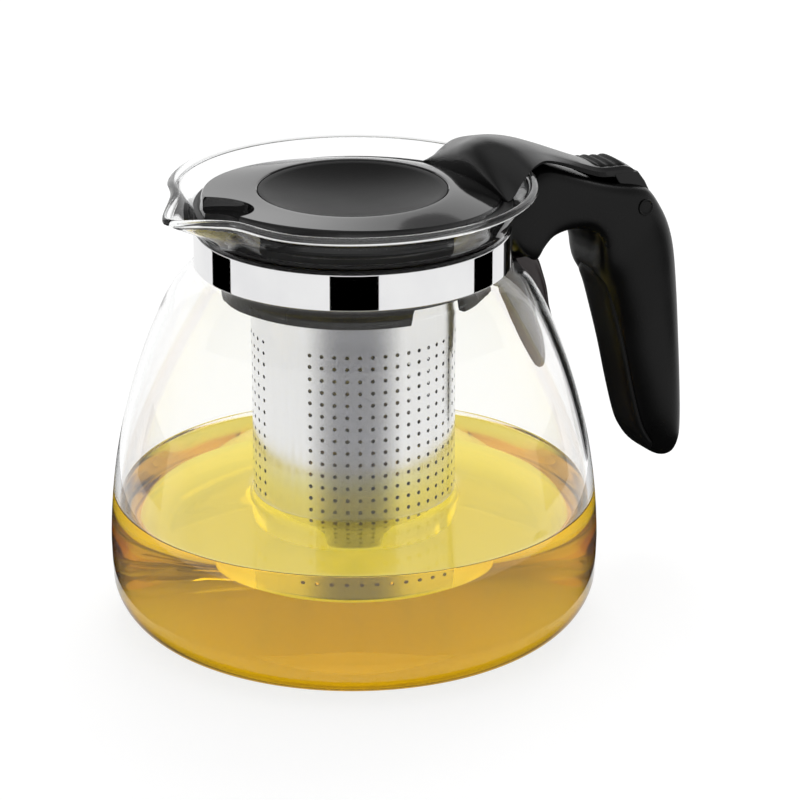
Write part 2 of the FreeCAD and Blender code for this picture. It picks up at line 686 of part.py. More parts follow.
def check_and_write():
    doc.recompute()
    for item in doc.Objects:
        states = {"Invalid", "Error"} & set(item.State)
        if states:
            raise RuntimeError("%s: %s" % (item.Name, item.State))
    os.makedirs("parts", exist_ok=True)
    for name, item in PARTS.items():
        shape = item.Shape
        if shape.isNull() or not shape.isValid() or not shape.Solids:
            raise RuntimeError(name + " has no valid solid")
        shape.exportStep("parts/" + name + ".step")
        box_of = shape.BoundBox
        print("%-20s solids %d  %8.1f mm3  x %.1f..%.1f  y %.1f..%.1f  z %.1f..%.1f" % (
            name, len(shape.Solids), shape.Volume, box_of.XMin, box_of.XMax, box_of.YMin,
            box_of.YMax, box_of.ZMin, box_of.ZMax))


make_jug()
make_band()
make_clamp()
make_handle()
make_handle_trim()
make_collar()
make_strainer()
make_lid()
make_lever()
check_and_write()
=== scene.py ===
"""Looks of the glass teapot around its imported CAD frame."""

import math

import bmesh
import bpy
from mathutils import Matrix, Vector


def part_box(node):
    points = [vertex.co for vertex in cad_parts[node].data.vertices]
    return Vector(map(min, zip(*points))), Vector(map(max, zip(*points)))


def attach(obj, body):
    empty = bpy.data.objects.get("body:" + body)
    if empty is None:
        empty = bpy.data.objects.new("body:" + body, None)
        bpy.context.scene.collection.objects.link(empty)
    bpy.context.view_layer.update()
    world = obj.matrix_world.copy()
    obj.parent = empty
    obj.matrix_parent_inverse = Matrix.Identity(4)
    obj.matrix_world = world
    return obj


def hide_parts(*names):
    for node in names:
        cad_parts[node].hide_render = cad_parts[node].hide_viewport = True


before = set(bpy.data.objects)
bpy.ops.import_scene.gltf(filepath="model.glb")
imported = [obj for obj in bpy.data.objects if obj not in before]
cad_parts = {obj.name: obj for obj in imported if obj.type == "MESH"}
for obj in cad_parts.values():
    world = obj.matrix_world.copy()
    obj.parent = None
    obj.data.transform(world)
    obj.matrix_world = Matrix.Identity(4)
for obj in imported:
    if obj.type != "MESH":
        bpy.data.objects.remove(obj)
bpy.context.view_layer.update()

MM = 0.001
TURN = 2 * math.pi
SEGMENTS = 192
FRONT = -119.3  # degrees round Z: the side of the pot that faces the camera


def cad_edge(node, axis, end):
    """Where a CAD node starts (end 0) or stops (end 1) along an axis, in mm to a tenth."""
    return round(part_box(node)[end][axis] / MM, 1)


def cad_middle(node, axis):
    """The middle of a CAD node along an axis, in mm to a tenth."""
    return round((cad_edge(node, axis, 0) + cad_edge(node, axis, 1)) / 2, 1)


BELLY = cad_edge("glass_jug", 0, 1)
BAND_OUTER = cad_edge("neck_band", 1, 1)
COLLAR_LOW = cad_edge("insert_collar", 2, 0)
STRAINER_OUTER = cad_edge("strainer_wall", 0, 1)
STRAINER_TOP = cad_edge("strainer_wall", 2, 1)
STRAINER_LOW = cad_edge("strainer_base", 2, 0)
PIN_X, PIN_Z = cad_middle("hinge_pin", 0), cad_middle("hinge_pin", 2)
CHANNEL_HALF = 8.1


# ---------------------------------------------------------------- helpers

def smooth(value, low, high):
    """Smooth step from 0 at low to 1 at high."""
    share = min(1.0, max(0.0, (value - low) / (high - low)))
    return share * share * (3 - 2 * share)


def blend_of(table, value):
    """Reads a table of rows, keyed by their first number, along straight lines."""
    if value <= table[0][0]:
        return table[0][1:]
    for before, after in zip(table, table[1:]):
        if value <= after[0]:
            share = (value - before[0]) / (after[0] - before[0])
            return tuple(a + (b - a) * share for a, b in zip(before[1:], after[1:]))
    return table[-1][1:]


def spline(points, steps):
    """A Catmull-Rom curve through rows of numbers, with that many steps between two rows."""
    rows = [points[0]] + list(points) + [points[-1]]
    curve = []
    for index in range(1, len(rows) - 2):
        p0, p1, p2, p3 = rows[index - 1:index + 3]
        for step in range(steps):
            t = step / steps
            curve.append(tuple(
                0.5 * (2 * b + (c - a) * t + (2 * a - 5 * b + 4 * c - d) * t * t
                       + (3 * b - a - 3 * c + d) * t ** 3)
                for a, b, c, d in zip(p0, p1, p2, p3)))
    curve.append(tuple(points[-1]))
    return curve


def rounded(points, radius, steps=5, closed=True):
    """The outline with each corner rounded; a point may carry its own radius as third number."""
    path = []
    count = len(points)
    for index, point in enumerate(points):
        if not closed and index in (0, count - 1):
            path.append((point[0], point[1]))
            continue
        here = Vector(point[:2])
        back = Vector(points[index - 1][:2]) - here
        ahead = Vector(points[(index + 1) % count][:2]) - here
        size = point[2] if len(point) > 2 else radius
        if size <= 0 or back.length < 1e-9 or ahead.length < 1e-9:
            path.append(tuple(here))
            continue
        angle = back.angle(ahead)
        reach = min(size / max(math.tan(angle / 2), 1e-6), back.length * 0.49,
                    ahead.length * 0.49)
        start = here + back.normalized() * reach
        end = here + ahead.normalized() * reach
        for step in range(steps + 1):
            t = step / steps
            path.append(tuple(start * (1 - t) ** 2 + here * 2 * t * (1 - t) + end * t * t))
    return path


def finish_mesh(name, mesh, material, body, stands_for, sharp=35.0):
    """Links the mesh as a piece that rides on a body and stands for CAD nodes."""
    mesh.set_sharp_from_angle(angle=math.radians(sharp))
    for face in mesh.polygons:
        face.use_smooth = True
    piece = bpy.data.objects.new(name, mesh)
    bpy.context.scene.collection.objects.link(piece)
    mesh.materials.clear()
    mesh.materials.append(material)
    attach(piece, body)
    if stands_for:
        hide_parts(*stands_for)
    return piece


def mesh_of(name, vertices, faces):
    """A mesh from millimetre points, with its faces turned outwards."""
    mesh = bpy.data.meshes.new(name)
    mesh.from_pydata([tuple(c * MM for c in v) for v in vertices], [], faces)
    work = bmesh.new()
    work.from_mesh(mesh)
    bmesh.ops.remove_doubles(work, verts=work.verts, dist=2e-7)
    bmesh.ops.recalc_face_normals(work, faces=work.faces)
    work.to_mesh(mesh)
    work.free()
    return mesh


def lathe_mesh(name, outline, segments=SEGMENTS, shape=None, closed=True):
    """Turns an outline of (radius, height) about Z; shape(r, z, angle) may move each point."""
    vertices, faces = [], []
    rows = len(outline)
    for index in range(segments):
        angle = TURN * index / segments
        for radius, height in outline:
            r, z = shape(radius, height, angle) if shape else (radius, height)
            vertices.append((r * math.cos(angle), r * math.sin(angle), z))
    for index in range(segments):
        here, following = index * rows, (index + 1) % segments * rows
        for row in range(rows if closed else rows - 1):
            up = (row + 1) % rows
            if outline[row][0] > 0 or outline[up][0] > 0:
                faces.append((here + row, following + row, following + up, here + up))
    return mesh_of(name, vertices, faces)


def loft_mesh(name, rings, cap=True):
    """Joins rings of equally many points into a closed tube."""
    count = len(rings[0])
    vertices = [point for ring in rings for point in ring]
    faces = []
    for index in range(len(rings) - 1):
        low, high = index * count, (index + 1) * count
        for k in range(count):
            following = (k + 1) % count
            faces.append((low + k, low + following, high + following, high + k))
    if cap:
        last = (len(rings) - 1) * count
        faces.append(tuple(range(count))[::-1])
        faces.append(tuple(range(last, last + count)))
    return mesh_of(name, vertices, faces)


def super_ring(across, up, centre, half_across, half_up, power, count):
    """A superellipse ring in the plane of two directions."""
    ring = []
    for k in range(count):
        angle = TURN * k / count
        c, s = math.cos(angle), math.sin(angle)
        a = math.copysign(abs(c) ** (2 / power), c) * half_across
        b = math.copysign(abs(s) ** (2 / power), s) * half_up
        ring.append(tuple(centre[i] + across[i] * a + up[i] * b for i in range(3)))
    return ring


def slab_mesh(name, outline, half, bevel, steps=3):
    """An outline of (x, z) points made 2 * half thick along Y, with rounded edges."""
    vertices = [(x, -half, z) for x, z in outline] + [(x, half, z) for x, z in outline]
    count = len(outline)
    faces = [tuple(range(count)), tuple(range(count, 2 * count))[::-1]]
    faces += [(k, (k + 1) % count, count + (k + 1) % count, count + k) for k in range(count)]
    mesh = mesh_of(name, vertices, faces)
    work = bmesh.new()
    work.from_mesh(mesh)
    edges = [edge for edge in work.edges if edge.is_manifold
             and edge.calc_face_angle(0.0) > math.radians(50)]
    bmesh.ops.bevel(work, geom=edges, offset=bevel * MM, segments=steps, affect="EDGES",
                    profile=0.6, clamp_overlap=True)
    work.to_mesh(mesh)
    work.free()
    return mesh


def carve(mesh, cutters):
    """Cuts closed meshes away from a mesh and returns the result."""
    scene = bpy.context.scene
    piece = bpy.data.objects.new("carve_work", mesh)
    scene.collection.objects.link(piece)
    tools = []
    for index, cutter in enumerate(cutters):
        tool = bpy.data.objects.new("carve_tool_%d" % index, cutter)
        scene.collection.objects.link(tool)
        tools.append(tool)
        change = piece.modifiers.new("cut", "BOOLEAN")
        change.operation = "DIFFERENCE"
        change.solver = "EXACT"
        change.object = tool
    bpy.context.view_layer.update()
    result = bpy.data.meshes.new_from_object(
        piece.evaluated_get(bpy.context.evaluated_depsgraph_get()))
    for item in [piece] + tools:
        bpy.data.objects.remove(item, do_unlink=True)
    return result


# ---------------------------------------------------------------- materials

def new_material(name):
    """An empty node material, with its nodes, links and shader."""
    material = bpy.data.materials.new(name)
    material.use_nodes = True
    nodes = material.node_tree.nodes
    shader = nodes["Principled BSDF"]
    return material, nodes, material.node_tree.links, shader


def object_noise(nodes, links, scale, detail=3.0, stretch=None):
    """Noise in the object's own space, stretched where asked."""
    place = nodes.new("ShaderNodeTexCoord")
    noise = nodes.new("ShaderNodeTexNoise")
    noise.inputs["Scale"].default_value = scale
    noise.inputs["Detail"].default_value = detail
    if stretch:
        mapping = nodes.new("ShaderNodeMapping")
        mapping.inputs["Scale"].default_value = stretch
        links.new(place.outputs["Object"], mapping.inputs["Vector"])
        links.new(mapping.outputs["Vector"], noise.inputs["Vector"])
    else:
        links.new(place.outputs["Object"], noise.inputs["Vector"])
    return noise


def spread(nodes, links, source, low, high):
    """Maps noise to a range of values."""
    ramp = nodes.new("ShaderNodeMapRange")
    ramp.inputs["From Min"].default_value = 0.3
    ramp.inputs["From Max"].default_value = 0.7
    ramp.inputs["To Min"].default_value = low
    ramp.inputs["To Max"].default_value = high
    links.new(source, ramp.inputs["Value"])
    return ramp.outputs["Result"]


def tint(nodes, links, source, dark, light):
    """Maps noise to colours between dark and light."""
    ramp = nodes.new("ShaderNodeValToRGB")
    ramp.color_ramp.elements[0].color = (*dark, 1)
    ramp.color_ramp.elements[1].color = (*light, 1)
    ramp.color_ramp.elements[0].position = 0.3
    ramp.color_ramp.elements[1].position = 0.7
    links.new(source, ramp.inputs["Fac"])
    return ramp.outputs["Color"]


def relief(nodes, links, source, strength, distance):
    """Turns noise into small bumps of the surface."""
    bump = nodes.new("ShaderNodeBump")
    bump.inputs["Strength"].default_value = strength
    bump.inputs["Distance"].default_value = distance
    links.new(source, bump.inputs["Height"])
    return bump.outputs["Normal"]


def plastic(name, dark, light, rough_low, rough_high, grain, strength, specular=0.5):
    """Moulded plastic: fine grain in the relief and slow changes in colour and sheen."""
    material, nodes, links, shader = new_material(name)
    slow = object_noise(nodes, links, 35.0)
    fine = object_noise(nodes, links, grain, 4.0)
    links.new(tint(nodes, links, slow.outputs["Fac"], dark, light), shader.inputs["Base Color"])
    links.new(spread(nodes, links, slow.outputs["Fac"], rough_low, rough_high),
              shader.inputs["Roughness"])
    links.new(relief(nodes, links, fine.outputs["Fac"], strength, 0.0004),
              shader.inputs["Normal"])
    shader.inputs["Specular IOR Level"].default_value = specular
    return material


def steel(name, dark, light, rough_low, rough_high, stretch, strength):
    """Polished sheet steel with faint drawn lines."""
    material, nodes, links, shader = new_material(name)
    lines = object_noise(nodes, links, 900.0, 2.0, stretch)
    slow = object_noise(nodes, links, 60.0)
    shader.inputs["Metallic"].default_value = 1.0
    links.new(tint(nodes, links, slow.outputs["Fac"], dark, light), shader.inputs["Base Color"])
    links.new(spread(nodes, links, lines.outputs["Fac"], rough_low, rough_high),
              shader.inputs["Roughness"])
    links.new(relief(nodes, links, lines.outputs["Fac"], strength, 0.00005),
              shader.inputs["Normal"])
    return material


def steel_with_painted_reflection_bands(name, dark, light, bands, azimuth):
    """Brushed steel tube with painted reflections: soft darker bands, painted into the base colour,
    run up it, one of them at the azimuth in degrees.
    """
    material, nodes, links, shader = new_material(name)
    place = nodes.new("ShaderNodeTexCoord")
    split = nodes.new("ShaderNodeSeparateXYZ")
    links.new(place.outputs["Object"], split.inputs["Vector"])

    def calculate(operation, first, second=None):
        step = nodes.new("ShaderNodeMath")
        step.operation = operation
        for socket, value in zip(step.inputs, (first, second)):
            if isinstance(value, (int, float)):
                socket.default_value = value
            elif value is not None:
                links.new(value, socket)
        return step.outputs["Value"]

    # Painted reflection: the base colour darkens in soft bands by azimuth round the tube, standing
    # in for dark surroundings mirrored in the steel.
    angle = calculate("ARCTAN2", split.outputs["Y"], split.outputs["X"])
    turned = calculate("SUBTRACT", angle, math.radians(azimuth))
    wave = calculate("COSINE", calculate("MULTIPLY", turned, bands))
    lines = object_noise(nodes, links, 900.0, 2.0, (1, 1, 0.05))
    band = nodes.new("ShaderNodeMapRange")
    band.interpolation_type = "SMOOTHSTEP"
    band.inputs["From Min"].default_value = 0.0
    band.inputs["From Max"].default_value = 1.0
    links.new(wave, band.inputs["Value"])
    ramp = nodes.new("ShaderNodeValToRGB")
    ramp.color_ramp.elements[0].color = (*light, 1)
    ramp.color_ramp.elements[1].color = (*dark, 1)
    links.new(band.outputs["Result"], ramp.inputs["Fac"])
    links.new(ramp.outputs["Color"], shader.inputs["Base Color"])
    shader.inputs["Metallic"].default_value = 1.0
    links.new(spread(nodes, links, lines.outputs["Fac"], 0.14, 0.24),
              shader.inputs["Roughness"])
    links.new(relief(nodes, links, lines.outputs["Fac"], 0.12, 0.00005),
              shader.inputs["Normal"])
    return material


def clear_glass():
    """Blown glass: clear, with the faintest waviness in its surface."""
    material, nodes, links, shader = new_material("clear_glass")
    shader.inputs["Base Color"].default_value = (0.985, 0.99, 0.99, 1)
    shader.inputs["Transmission Weight"].default_value = 1.0
    shader.inputs["IOR"].default_value = 1.47
    wave = object_noise(nodes, links, 22.0, 1.0)
    links.new(relief(nodes, links, wave.outputs["Fac"], 0.03, 0.0004), shader.inputs["Normal"])
    links.new(spread(nodes, links, wave.outputs["Fac"], 0.0, 0.004),
              shader.inputs["Roughness"])
    return material


def tea_liquid():
    """Brewed tea: clear, its colour deepening with the length of the light's way through."""
    material, nodes, links, shader = new_material("tea_liquid")
    shader.inputs["Base Color"].default_value = (1, 1, 1, 1)
    shader.inputs["Transmission Weight"].default_value = 1.0
    shader.inputs["IOR"].default_value = 1.333
    ripple = object_noise(nodes, links, 30.0, 1.0)
    links.new(relief(nodes, links, ripple.outputs["Fac"], 0.02, 0.0003),
              shader.inputs["Normal"])
    links.new(spread(nodes, links, ripple.outputs["Fac"], 0.0, 0.004),
              shader.inputs["Roughness"])
    volume = nodes.new("ShaderNodeVolumeAbsorption")
    volume.inputs["Color"].default_value = (0.99, 0.915, 0.0, 1)
    volume.inputs["Density"].default_value = 60.0
    output = nodes["Material Output"]
    links.new(volume.outputs["Volume"], output.inputs["Volume"])
    return material


GLASS = clear_glass()
TEA = tea_liquid()
BAND = steel("band_chrome", (0.84, 0.84, 0.85), (0.9, 0.9, 0.9), 0.02, 0.05, (0.2, 0.2, 6), 0.02)
# The strainer's darker bands are painted reflections in its base colour; one of them faces the
# camera at FRONT.
STRAINER = steel_with_painted_reflection_bands("strainer_steel_painted_bands", (0.25, 0.25, 0.27), (0.82, 0.82, 0.84), 3, FRONT)
FASTENER = steel("fastener_steel", (0.5, 0.5, 0.5), (0.62, 0.62, 0.62), 0.25, 0.4, (1, 1, 1), 0.1)
HANDLE = plastic("handle_black", (0.002, 0.002, 0.002), (0.004, 0.004, 0.004), 0.24, 0.34,
                 1400.0, 0.1, 0.18)
LEAF = plastic("leaf_brown", (0.016, 0.012, 0.012), (0.03, 0.02, 0.02), 0.16, 0.26,
               1400.0, 0.08, 0.4)
TRIM = plastic("trim_black", (0.003, 0.003, 0.003), (0.006, 0.006, 0.006), 0.34, 0.46,
               1400.0, 0.12, 0.14)
LID = plastic("lid_gloss", (0.003, 0.003, 0.003), (0.006, 0.006, 0.006), 0.05, 0.1,
              900.0, 0.012, 0.5)
DISH = plastic("dish_matt", (0.002, 0.002, 0.002), (0.004, 0.004, 0.004), 0.3, 0.38,
               1800.0, 0.08, 0.06)
COLLAR = plastic("collar_black", (0.003, 0.002, 0.002), (0.007, 0.005, 0.005), 0.2, 0.3,
                 900.0, 0.06, 0.25)
LEVER = plastic("lever_black", (0.002, 0.002, 0.002), (0.005, 0.005, 0.005), 0.2, 0.3,
                1400.0, 0.08, 0.3)
PAD = plastic("pad_rubber", (0.003, 0.003, 0.003), (0.006, 0.006, 0.006), 0.45, 0.6,
              1800.0, 0.2, 0.2)
SEAL = plastic("seal_silicone", (0.004, 0.004, 0.004), (0.008, 0.008, 0.008), 0.4, 0.55,
               900.0, 0.1, 0.3)


# ---------------------------------------------------------------- jug

WALL = 2.3
FLOOR = 3.4
RIM = 140.4
BELLY_BEND = 187.0
LIP_ANGLE = math.pi
TEA_LEVEL = 41.7
TEA_OVERLAP = 0.12


def arc(centre, radius, start, end, steps):
    """Points of an arc about (r, z), angles in degrees from the outward direction."""
    return [(centre[0] + radius * math.cos(math.radians(start + (end - start) * k / steps)),
             centre[1] + radius * math.sin(math.radians(start + (end - start) * k / steps)))
            for k in range(steps + 1)]


def jug_side(inset, floor):
    """Profile from the foot up to the rim, moved inwards by the wall thickness."""
    foot = arc((58.4, 17.6), 17.6 - inset, -90, -8, 14)
    foot = [(r, z + (floor - inset) * (1 - smooth(z, 0, 15))) for r, z in foot]
    belly = arc((BELLY - BELLY_BEND, 24.0), BELLY_BEND - inset, 0, 24.6, 26)
    shoulder = spline([(58.6 - inset * 0.9, 103.2 - inset * 0.4),
                       (55.2 - inset * 0.8, 109.0 - inset * 0.6),
                       (51.2 - inset * 0.72, 113.2 - inset * 0.7),
                       (48.6 - inset * 0.9, 115.4 - inset * 0.5),
                       (47.8 - inset, 118.0)], 5)
    flare = spline([(47.8 - inset, 126.0), (48.3 - inset, 128.8), (50.0 - inset * 1.2, 132.0),
                    (52.6 - inset * 1.25, 135.4), (55.3 - inset * 1.2, 138.6),
                    (56.2 - inset, RIM - 0.9)], 4)
    return foot + belly[1:] + shoulder[1:] + flare


def lip_shape(radius, height, angle):
    """Pulls the rim out into the pouring lip, with a low throat and raised sides."""
    pull, dip, rise, tuck = 8.4, 1.4, 1.0, 1.1
    away = abs(math.remainder(angle - LIP_ANGLE, TURN))
    share = smooth(height, 127.5, RIM + 1.0)
    out = pull * share ** 1.3 * math.exp(-(away / 0.17) ** 1.6)
    throat = -dip * share * math.exp(-(away / 0.13) ** 2)
    sides = rise * share * math.exp(-((away - 0.42) / 0.2) ** 2)
    waist = -tuck * share * math.exp(-((away - 0.36) / 0.13) ** 2)
    return radius + out + waist, height + throat + sides


def make_jug():
    """One closed outline: the outside, the bead of the rim and the inside."""
    outer = jug_side(0.0, 0.0)
    inner = jug_side(WALL, FLOOR)
    edge = arc((55.15, RIM - 0.35), 1.45, -5, 185, 12)
    profile = [(0.0, 0.0), (30.0, 0.0), (50.0, 0.0)] + outer + edge + inner[::-1]
    profile += [(40.0, FLOOR), (20.0, FLOOR), (0.0, FLOOR)]
    mesh = lathe_mesh("jug_glass", profile, 256, lip_shape, closed=True)
    finish_mesh("jug_glass", mesh, GLASS, "pot", ["glass_jug"], 80)


def make_tea():
    """The tea reaches a hair into the glass, so that no film of air shows between them."""
    level, bottom = TEA_LEVEL, FLOOR - TEA_OVERLAP
    room, under = STRAINER_OUTER + TEA_OVERLAP, STRAINER_LOW - 0.15
    side = [(r + TEA_OVERLAP, z - TEA_OVERLAP) for r, z in jug_side(WALL, FLOOR) if z < level - 1.2]
    profile = [(0.0, bottom), (30.0, bottom)] + side
    wall = 75.9 - WALL + TEA_OVERLAP
    profile += [(wall - 0.4, level + 1.0), (wall - 1.0, level + 0.5), (wall - 2.2, level + 0.12),
                (wall - 4.0, level), (40.0, level), (34.5, level), (32.4, level + 0.25),
                (room, level + 0.9), (room, under), (0.0, under)]
    mesh = lathe_mesh("tea_fill", profile, 192)
    finish_mesh("tea_fill", mesh, TEA, "pot", [], 60)


def make_tea_inside():
    """The tea inside the strainer, level with the rest."""
    level, reach, bottom = TEA_LEVEL, 30.9, 21.3
    profile = rounded([(0.0, bottom), (reach, bottom, 1.0), (reach, level + 0.6, 0),
                       (reach - 0.7, level), (0.0, level)], 0.3)
    mesh = lathe_mesh("tea_inside", profile, 128)
    finish_mesh("tea_inside", mesh, TEA, "pot", [], 60)


# ---------------------------------------------------------------- band

def make_band():
    """The strap, open behind under the handle, with rolled edges."""
    outer, inner, low, high = BAND_OUTER, 47.95, 116.6, 127.8
    outline = rounded([(inner, low), (outer, low), (outer, low + 0.38, 0), (outer, low + 0.5, 0),
                       (outer, high - 0.5, 0), (outer, high - 0.38, 0), (outer, high),
                       (inner, high)], 0.3, 4)
    gap = math.asin(3.0 / 48.5)
    steps = SEGMENTS * 2
    rings = []
    for index in range(steps + 1):
        angle = gap + (TURN - 2 * gap) * index / steps
        rings.append([(r * math.cos(angle), r * math.sin(angle), z) for r, z in outline])
    finish_mesh("band_strap", loft_mesh("band_strap", rings), BAND, "pot", ["neck_band"],
                50)
    for side, name in ((-1, "near"), (1, "far")):
        ear = slab_mesh("band_ear_" + name, [(47.9, 117.8), (60.0, 117.8), (60.0, 126.8),
                                             (47.9, 126.8)], 0.6, 0.25)
        for vertex in ear.vertices:
            vertex.co.y += side * 3.6 * MM
        finish_mesh("band_ear_" + name, ear, BAND, "pot", ["neck_band"], 50)


# ---------------------------------------------------------------- handle

HANDLE_RIBS = [
    # outer x, outer z, inner x, inner z, half width, squareness
    (49.5, 125.8, 50.4, 115.9, 11.8, 4.0), (52.2, 128.6, 54.0, 110.9, 12.3, 4.2),
    (55.6, 133.4, 58.2, 107.4, 12.4, 4.4), (59.4, 138.0, 60.8, 107.6, 12.4, 4.6),
    (63.6, 139.0, 63.2, 111.2, 12.4, 4.6), (69.6, 136.8, 66.8, 114.6, 12.4, 4.6),
    (76.0, 134.0, 73.2, 116.0, 12.4, 4.6), (84.0, 130.9, 80.0, 114.8, 12.4, 4.6),
    (92.0, 128.6, 83.6, 111.0, 12.4, 4.8), (99.6, 126.9, 84.8, 106.8, 12.4, 5.0),
    (103.8, 124.9, 85.2, 103.0, 12.4, 5.0), (108.0, 119.6, 86.0, 99.2, 12.3, 4.6),
    (112.4, 112.4, 88.6, 93.6, 11.7, 3.8), (115.6, 103.6, 91.4, 84.4, 10.8, 3.2),
    (118.0, 90.4, 95.0, 71.4, 9.6, 2.8), (119.6, 74.0, 98.6, 56.4, 9.1, 2.6),
    (120.8, 57.0, 101.9, 44.6, 8.8, 2.5), (121.3, 44.2, 104.9, 38.8, 8.4, 2.5),
    (120.9, 37.0, 108.4, 34.2, 7.6, 2.5), (119.2, 32.6, 112.0, 31.3, 5.8, 2.4),
    (117.0, 30.8, 114.4, 30.4, 2.9, 2.2),
]


def handle_ring(rib, count=56):
    """The cross-section of the handle between its outer and inner line."""
    outer_x, outer_z, inner_x, inner_z, half, power = rib
    outer, inner = Vector((outer_x, 0, outer_z)), Vector((inner_x, 0, inner_z))
    centre = (outer + inner) / 2
    return super_ring((0, 1, 0), (outer - inner).normalized(), centre, half,
                      (outer - inner).length / 2, power, count)


def make_handle():
    """The shell, with the lever's channel and the room of the jug cut out."""
    rings = [handle_ring(rib) for rib in spline(HANDLE_RIBS, 5)]
    body = loft_mesh("handle_black_shell", rings)
    front, low, high, sweep_radius = 82.6, 119.6, 140, 10.9
    channel = slab_mesh("channel", [(front, low), (PIN_X, low), (PIN_X + 16, low),
                                    (PIN_X + 16, high), (front, high)], CHANNEL_HALF, 0.6)
    sweep = slab_mesh("sweep", [(PIN_X + sweep_radius * math.cos(TURN * k / 48),
                                 PIN_Z + sweep_radius * math.sin(TURN * k / 48))
                                for k in range(48)], CHANNEL_HALF, 0.5)
    jug = lathe_mesh("jug_room", [(0.0, 60.0)] + [(r + 0.12, z) for r, z in jug_side(0.0, 0.0)
                                                   if z > 60] + [(0.0, RIM)], 128)
    body = carve(body, [channel, sweep, jug])
    finish_mesh("handle_outer", body, HANDLE, "pot", ["handle_shell"], 40)


def make_inner_cover():
    """The separate strip on the finger side of the grip, standing a little proud."""
    first_rib, end_rib = 54, 92
    ribs = spline(HANDLE_RIBS, 5)[first_rib:end_rib]
    rings = []
    last = len(ribs) - 1
    for index, rib in enumerate(ribs):
        outer, inner = Vector((rib[0], 0, rib[1])), Vector((rib[2], 0, rib[3]))
        inward = (outer - inner).normalized()
        end = min(index, last - index)
        proud = 0.55 * smooth(end, -1, 3)
        half = 7.4 * (0.55 + 0.45 * smooth(end, -1, 5))
        centre = inner + inward * (1.6 - proud)
        rings.append(super_ring((0, 1, 0), inward, centre, half, 1.7, 3.2, 32))
    mesh = loft_mesh("handle_strip", rings)
    finish_mesh("handle_strip", mesh, TRIM, "pot", ["handle_inner_cover"], 50)


def glass_radius(height):
    """Outer radius of the jug at a height."""
    side = jug_side(0.0, 0.0)
    for low, high in zip(side, side[1:]):
        if low[1] <= height <= high[1]:
            share = (height - low[1]) / max(high[1] - low[1], 1e-6)
            return low[0] + (high[0] - low[0]) * share
    return side[-1][0]


def make_shoulder_rest():
    """A leaf on the glass: a square stem under the neck that thins into a pointed foot."""
    table = [(111.2, 11.2, 60.4), (108.5, 11.3, 62.0), (104.0, 11.2, 63.6), (98.0, 11.0, 65.8),
             (91.0, 10.6, 68.0), (84.0, 9.2, 70.2), (77.0, 6.6, 72.2), (72.0, 3.6, 73.2),
             (69.7, 1.2, 72.9)]
    sink, rim = 0.06, 1.3
    rings = []
    for height, half, front in spline(table, 6):
        ring = []
        block = 2 + 10 * smooth(height, 92.0, 106.0)
        for k in range(40):
            angle = TURN * k / 40
            y = half * math.copysign(abs(math.cos(angle)) ** 0.8, math.cos(angle))
            glass = math.sqrt(max(glass_radius(height) ** 2 - y * y, 1.0)) - sink
            crown = math.sqrt(max(0.0, 1 - abs(y / half) ** block))
            if math.sin(angle) > 0:
                x = glass + rim + max(0.0, front - glass - rim) * crown ** 0.8
            else:
                x = glass
            ring.append((x, y, height))
        rings.append(ring)
    mesh = loft_mesh("shoulder_leaf", rings)
    finish_mesh("shoulder_leaf", mesh, LEAF, "pot", ["shoulder_rest"], 50)


def make_caps():
    """A cap on each cheek: a raised ring round a shallow domed button."""
    outline = rounded([(0.0, 0.0), (2.7, 0.0, 0), (2.7, 0.5, 0.2), (2.2, 0.5, 0.12),
                       (2.05, 0.25, 0.1), (1.7, 0.32, 0.15), (0.0, 0.45)], 0.1, 3)
    cheek = 12.3
    for side, name in ((-1, "near"), (1, "far")):
        mesh = lathe_mesh("cheek_cap_" + name, outline, 48)
        turn = Matrix.Rotation(math.radians(90 if side < 0 else -90), 4, "X")
        mesh.transform(Matrix.Translation(Vector((PIN_X, cheek * side, PIN_Z)) * MM) @ turn)
        finish_mesh("cheek_cap_" + name, mesh, HANDLE, "pot", ["cheek_caps"], 40)


# ---------------------------------------------------------------- collar and strainer

def make_collar():
    """The black collar with its notched lower edge, and the gasket under its flange."""
    low, notch = COLLAR_LOW, 4.8
    outline = rounded([(39.6, low), (42.0, low), (42.0, 129.1, 0.3), (46.3, 129.1, 0.1),
                       (46.9, 130.9, 0.1), (39.6, 130.9, 0.3), (39.6, 114.8, 0.3),
                       (32.1, 114.8, 0.3), (32.1, 113.0, 0.3), (39.6, 113.0, 0.3)], 0.35, 3)

    def notched(radius, height, angle):
        in_notch = 24.0 < math.degrees(angle) % 120 < 51.0
        if in_notch and height < low + notch:
            return radius, low + notch + (height - low) * 0.02
        return radius, height

    mesh = lathe_mesh("collar_ring", outline, 240, notched)
    finish_mesh("collar_ring", mesh, COLLAR, "insert", ["insert_collar"], 40)
    gasket = rounded([(42.1, 126.2), (45.65, 126.2, 0.1), (46.1, 128.9, 0.1),
                      (42.1, 128.9)], 0.5, 4)
    finish_mesh("gasket_ring", lathe_mesh("gasket_ring", gasket), SEAL, "insert",
                ["collar_gasket"], 50)


HOLE_COLUMNS = 51
HOLE_ROWS = 19
HOLE_TOP = 95.7
HOLE_PITCH = 3.85
HOLE_SIZE = 0.64
SEAM_START, SEAM_END = 184.0, 214.0


